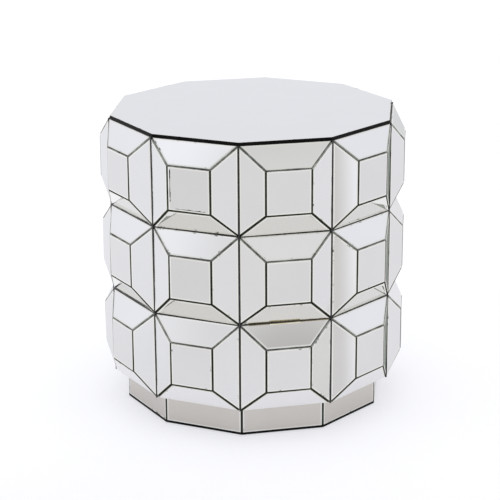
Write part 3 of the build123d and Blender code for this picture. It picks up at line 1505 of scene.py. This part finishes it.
@dataclass
class Studio:
    """The plain pale room: walls as a soft world light, a floor and the camera.

    The floor's colours meet in soft steps, each between two places along its way.
    """

    wall: Colour = (0.906, 0.915, 0.962)
    ceiling: Colour = (0.992, 0.983, 0.949)
    ceiling_step: Span = (0.45, 0.95)
    camera_place: Axis = (0.3037, -3.2003, 1.3048)
    heading: float = math.radians(5.55)
    look_down: float = math.radians(17.699)
    roll: float = math.radians(0.322)
    lens: float = 126.17
    sensor: float = 36.0
    far_clip: float = 100.0
    floor_half: float = 14.0
    floor_front_left: Colour = (0.480, 0.477, 0.478)
    floor_front_right: Colour = (0.499, 0.499, 0.504)
    floor_back: Colour = (0.537, 0.539, 0.556)
    floor_right: Colour = (0.512, 0.509, 0.523)
    floor_glow: float = 1.0
    front_step: Span = (-1.0, 0.6)
    back_step: Span = (-0.95, -0.2)
    left_way: Axis = (-0.643, 0.766, 0.0)
    left_step: Span = (-0.15, 0.03)
    right_step: Span = (0.30, 1.0)
    right_back_step: Span = (-0.9, -0.3)
    patches: tuple[SoftPatch, ...] = (
        SoftPatch(-112.0, 25.0, 8.0, 30.0, (0.955, 0.963, 1.01)),
        SoftPatch(-75.0, 58.0, 21.0, 28.0, (1.000, 1.009, 1.060)),
        SoftPatch(-41.0, 41.8, 5.5, 8.8, (0.787, 0.787, 0.806)),
        SoftPatch(36.0, 46.0, 8.0, 24.0, (0.812, 0.812, 0.817)),
        SoftPatch(39.0, 51.0, 1.0, 6.0, (0.701, 0.693, 0.667)),
        SoftPatch(35.0, 39.5, 0.5, 3.0, (0.564, 0.556, 0.539)),
    )

    def build(self) -> None:
        """Make the walls' light, the floor and the camera."""
        self._light_walls()
        self._lay_floor()
        self._set_camera()

    def _light_walls(self) -> None:
        """Make the world: pale walls, a brighter ceiling and the soft patches."""
        world = bpy.data.worlds.new("studio")
        bpy.context.scene.world = world
        world.use_nodes = True
        sheet = NodeSheet(world.node_tree)
        way = sheet.node("ShaderNodeTexCoord").outputs["Generated"]
        high = sheet.ramp(sheet.component(way, "Z"), *self.ceiling_step)
        colour = sheet.blend(high, rgba(self.wall), rgba(self.ceiling))
        for patch in self.patches:
            near = sheet.length("DOT_PRODUCT", way, patch.direction())
            colour = sheet.blend(sheet.ramp(near, *patch.spread()), colour, rgba(patch.colour))
        glow = sheet.node("ShaderNodeBackground", Color=colour, Strength=1.0)
        sheet.node("ShaderNodeOutputWorld", Surface=glow.outputs[0])

    def _lay_floor(self) -> None:
        """Lay a large pale floor lit softly from below."""
        shape = bmesh.new()
        bmesh.ops.create_grid(shape, x_segments=1, y_segments=1, size=self.floor_half)
        material, sheet, where = start_material("studio_floor")
        colour = self._floor_colour(sheet, where)
        end_material(
            sheet,
            Base_Color=colour,
            Roughness=0.9,
            Specular_IOR_Level=0.1,
            Emission_Color=colour,
            Emission_Strength=self.floor_glow,
        )
        floor = mesh_object("studio_floor", shape, [material])

    def _floor_colour(self, sheet: NodeSheet, where: Socket) -> Socket:
        """The floor's colour, a little darker towards the front.

        Args:
            sheet: the material's node sheet.
            where: the object coordinates.

        Returns:
            The colour socket.
        """
        across, away = (sheet.component(where, axis) for axis in "XY")
        front = sheet.blend(
            sheet.ramp(across, *self.front_step),
            rgba(self.floor_front_left),
            rgba(self.floor_front_right),
        )
        back = sheet.ramp(away, *self.back_step)
        left = sheet.ramp(sheet.length("DOT_PRODUCT", where, self.left_way), *self.left_step)
        colour = sheet.blend(sheet.math("MAXIMUM", back, left), front, rgba(self.floor_back))
        right = sheet.ramp(across, *self.right_step)
        behind = sheet.ramp(away, *self.right_back_step)
        return sheet.blend(
            sheet.math("MULTIPLY", right, behind), colour, rgba(self.floor_right)
        )

    def _set_camera(self) -> None:
        """Place the camera."""
        data = bpy.data.cameras.new("camera")
        data.lens = self.lens
        data.sensor_width = self.sensor
        data.clip_end = self.far_clip
        camera = bpy.data.objects.new("camera", data)
        camera.matrix_world = (
            Matrix.Translation(self.camera_place)
            @ Matrix.Rotation(self.heading, 4, "Z")
            @ Matrix.Rotation(math.pi / 2 - self.look_down, 4, "X")
            @ Matrix.Rotation(-self.roll, 4, "Z")
        )
        bpy.context.scene.collection.objects.link(camera)
        bpy.context.scene.camera = camera
        bpy.context.scene.view_settings.view_transform = "Standard"


# ------------------------------------------------------------------ assembly


@dataclass
class DrumTable:
    """The whole table: panes, sealant and carcass, each riding on the frame's body."""

    nodes: dict[str, bpy.types.Object]
    sizes: DrumSizes
    glass: GlassFinishes
    glue_lines: tuple[GlueLine, ...] = (
        GlueLine(
            "aged_glue_line",
            drop=0.0013,
            span=(-0.068, 0.080),
            thin=0.0007,
            thick=0.0009,
            proud=0.0008,
            finish=Coating(
                "aged_glue",
                (0.24, 0.20, 0.12),
                roughness=0.4,
                grain=400.0,
                grain_depth=0.0001,
                worn=(0.34, 0.29, 0.18),
            ),
        ),
        # A painted glint: the pale cream strip stands in for a warm reflection in the seam.
        GlueLine(
            "pale_glue_line",
            drop=0.0021,
            span=(-0.030, 0.027),
            thin=0.0009,
            thick=0.0010,
            proud=0.0018,
            finish=Coating(
                "pale_glue",
                (0.90, 0.86, 0.66),
                roughness=0.2,
                grain=400.0,
                grain_depth=0.0001,
                worn=(0.74, 0.66, 0.42),
            ),
        ),
    )

    def build(self) -> None:
        """Build every piece."""
        self._hang_stud_mirrors()
        self._hang_plinth_mirrors()
        self._settle(TopMirror(self.sizes).build(self.glass), RecordSlot.TOP_MIRROR, "top_mirror")
        self._seal()
        self._dress_carcass()

    def _settle(self, piece: bpy.types.Object, slot: RecordSlot, *nodes: str) -> None:
        """Ride a piece on the body, in the place of the CAD nodes it stands for.

        Args:
            piece: the new piece.
            slot: the record's material slot; not used.
            *nodes: the CAD nodes that it replaces.
        """
        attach(piece, ROOT)
        if nodes:
            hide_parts(*nodes)
        LOG.info("built %s: %d faces", piece.name, len(piece.data.polygons))

    def _hang_stud_mirrors(self) -> None:
        """Clad the studs."""
        mirrors = StudMirrors(self.sizes)
        for tier in Tier:
            for facet in Facet:
                piece = mirrors.build(tier, facet, self.glass)
                self._settle(piece, RecordSlot.MIRROR, f"{tier.value}_{facet.value}_mirrors")

    def _hang_plinth_mirrors(self) -> None:
        """Clad the plinth."""
        mirrors = PlinthMirrors(self.sizes)
        for number, angle in enumerate(self.sizes.side_angles(), start=1):
            piece = mirrors.build(number, angle, self.glass)
            self._settle(piece, RecordSlot.MIRROR, f"plinth_mirror_{number:02d}")

    def _seal(self) -> None:
        """Lay the sealant in the seams, and the thin strips along one of them, one a painted glint.
        """
        finish = Coating(
            "seam_sealant", (0.008, 0.009, 0.008), roughness=0.45, grain=500.0, grain_depth=0.0002
        ).make()
        upright = SeamSealant(self.sizes)
        self._settle(upright.upright_seams(finish), RecordSlot.BLACK_BOARD)
        level = SeamSealant(self.sizes, thin=0.0006, thick=0.0011, proud=0.0)
        self._settle(level.level_seams(finish), RecordSlot.BLACK_BOARD)
        for line in self.glue_lines:
            glue = SeamSealant(
                self.sizes, line.thin, line.thick, line.depth, line.proud, line.wander
            )
            self._settle(glue.glue_line(line), RecordSlot.BLACK_BOARD)

    def _dress_carcass(self) -> None:
        """Finish the CAD nodes that stay."""
        carcass = Carcass(self.nodes)
        blocks = (f"{tier.value}_stud_blocks" for tier in Tier)
        paint = Coating(
            "black_painted_board",
            (0.010, 0.010, 0.011),
            roughness=0.38,
            grain=260.0,
            grain_depth=0.0001,
        )
        carcass.dress(paint.make(), "plinth_panels", "bottom_board", *blocks)
        lacquer = Coating(
            "black_strip",
            (0.002,) * 3,
            roughness=0.5,
            grain=260.0,
            grain_depth=0.0001,
            worn=(0.006,) * 3,
            specular=0.1,
        )
        carcass.dress(lacquer.make(), "base_strips")
        board = Fibreboard("raw_fibreboard")
        carcass.dress(board.make(), "side_panel", "top_board", "stiffener_board")
        carcass.dress(SawnPine("sawn_pine").make(), "upper_corner", "lower_corner")
        screws = ("top_board_screws", "bottom_board_screws", "plinth_screws")
        carcass.dress(ZincSteel("zinc_screw").make(), *screws)
        carcass.dress(NeedleFelt("needle_felt").make(), "felt_pads")


def main() -> None:
    """Build the looks around the frame, and the studio."""
    logging.basicConfig(level=logging.INFO, format="%(name)s: %(message)s")
    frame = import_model()
    sizes = DrumSizes()
    DrumTable(frame["nodes"], sizes, GlassFinishes.make(sizes)).build()
    Studio().build()


if __name__ == "__main__":
    main()
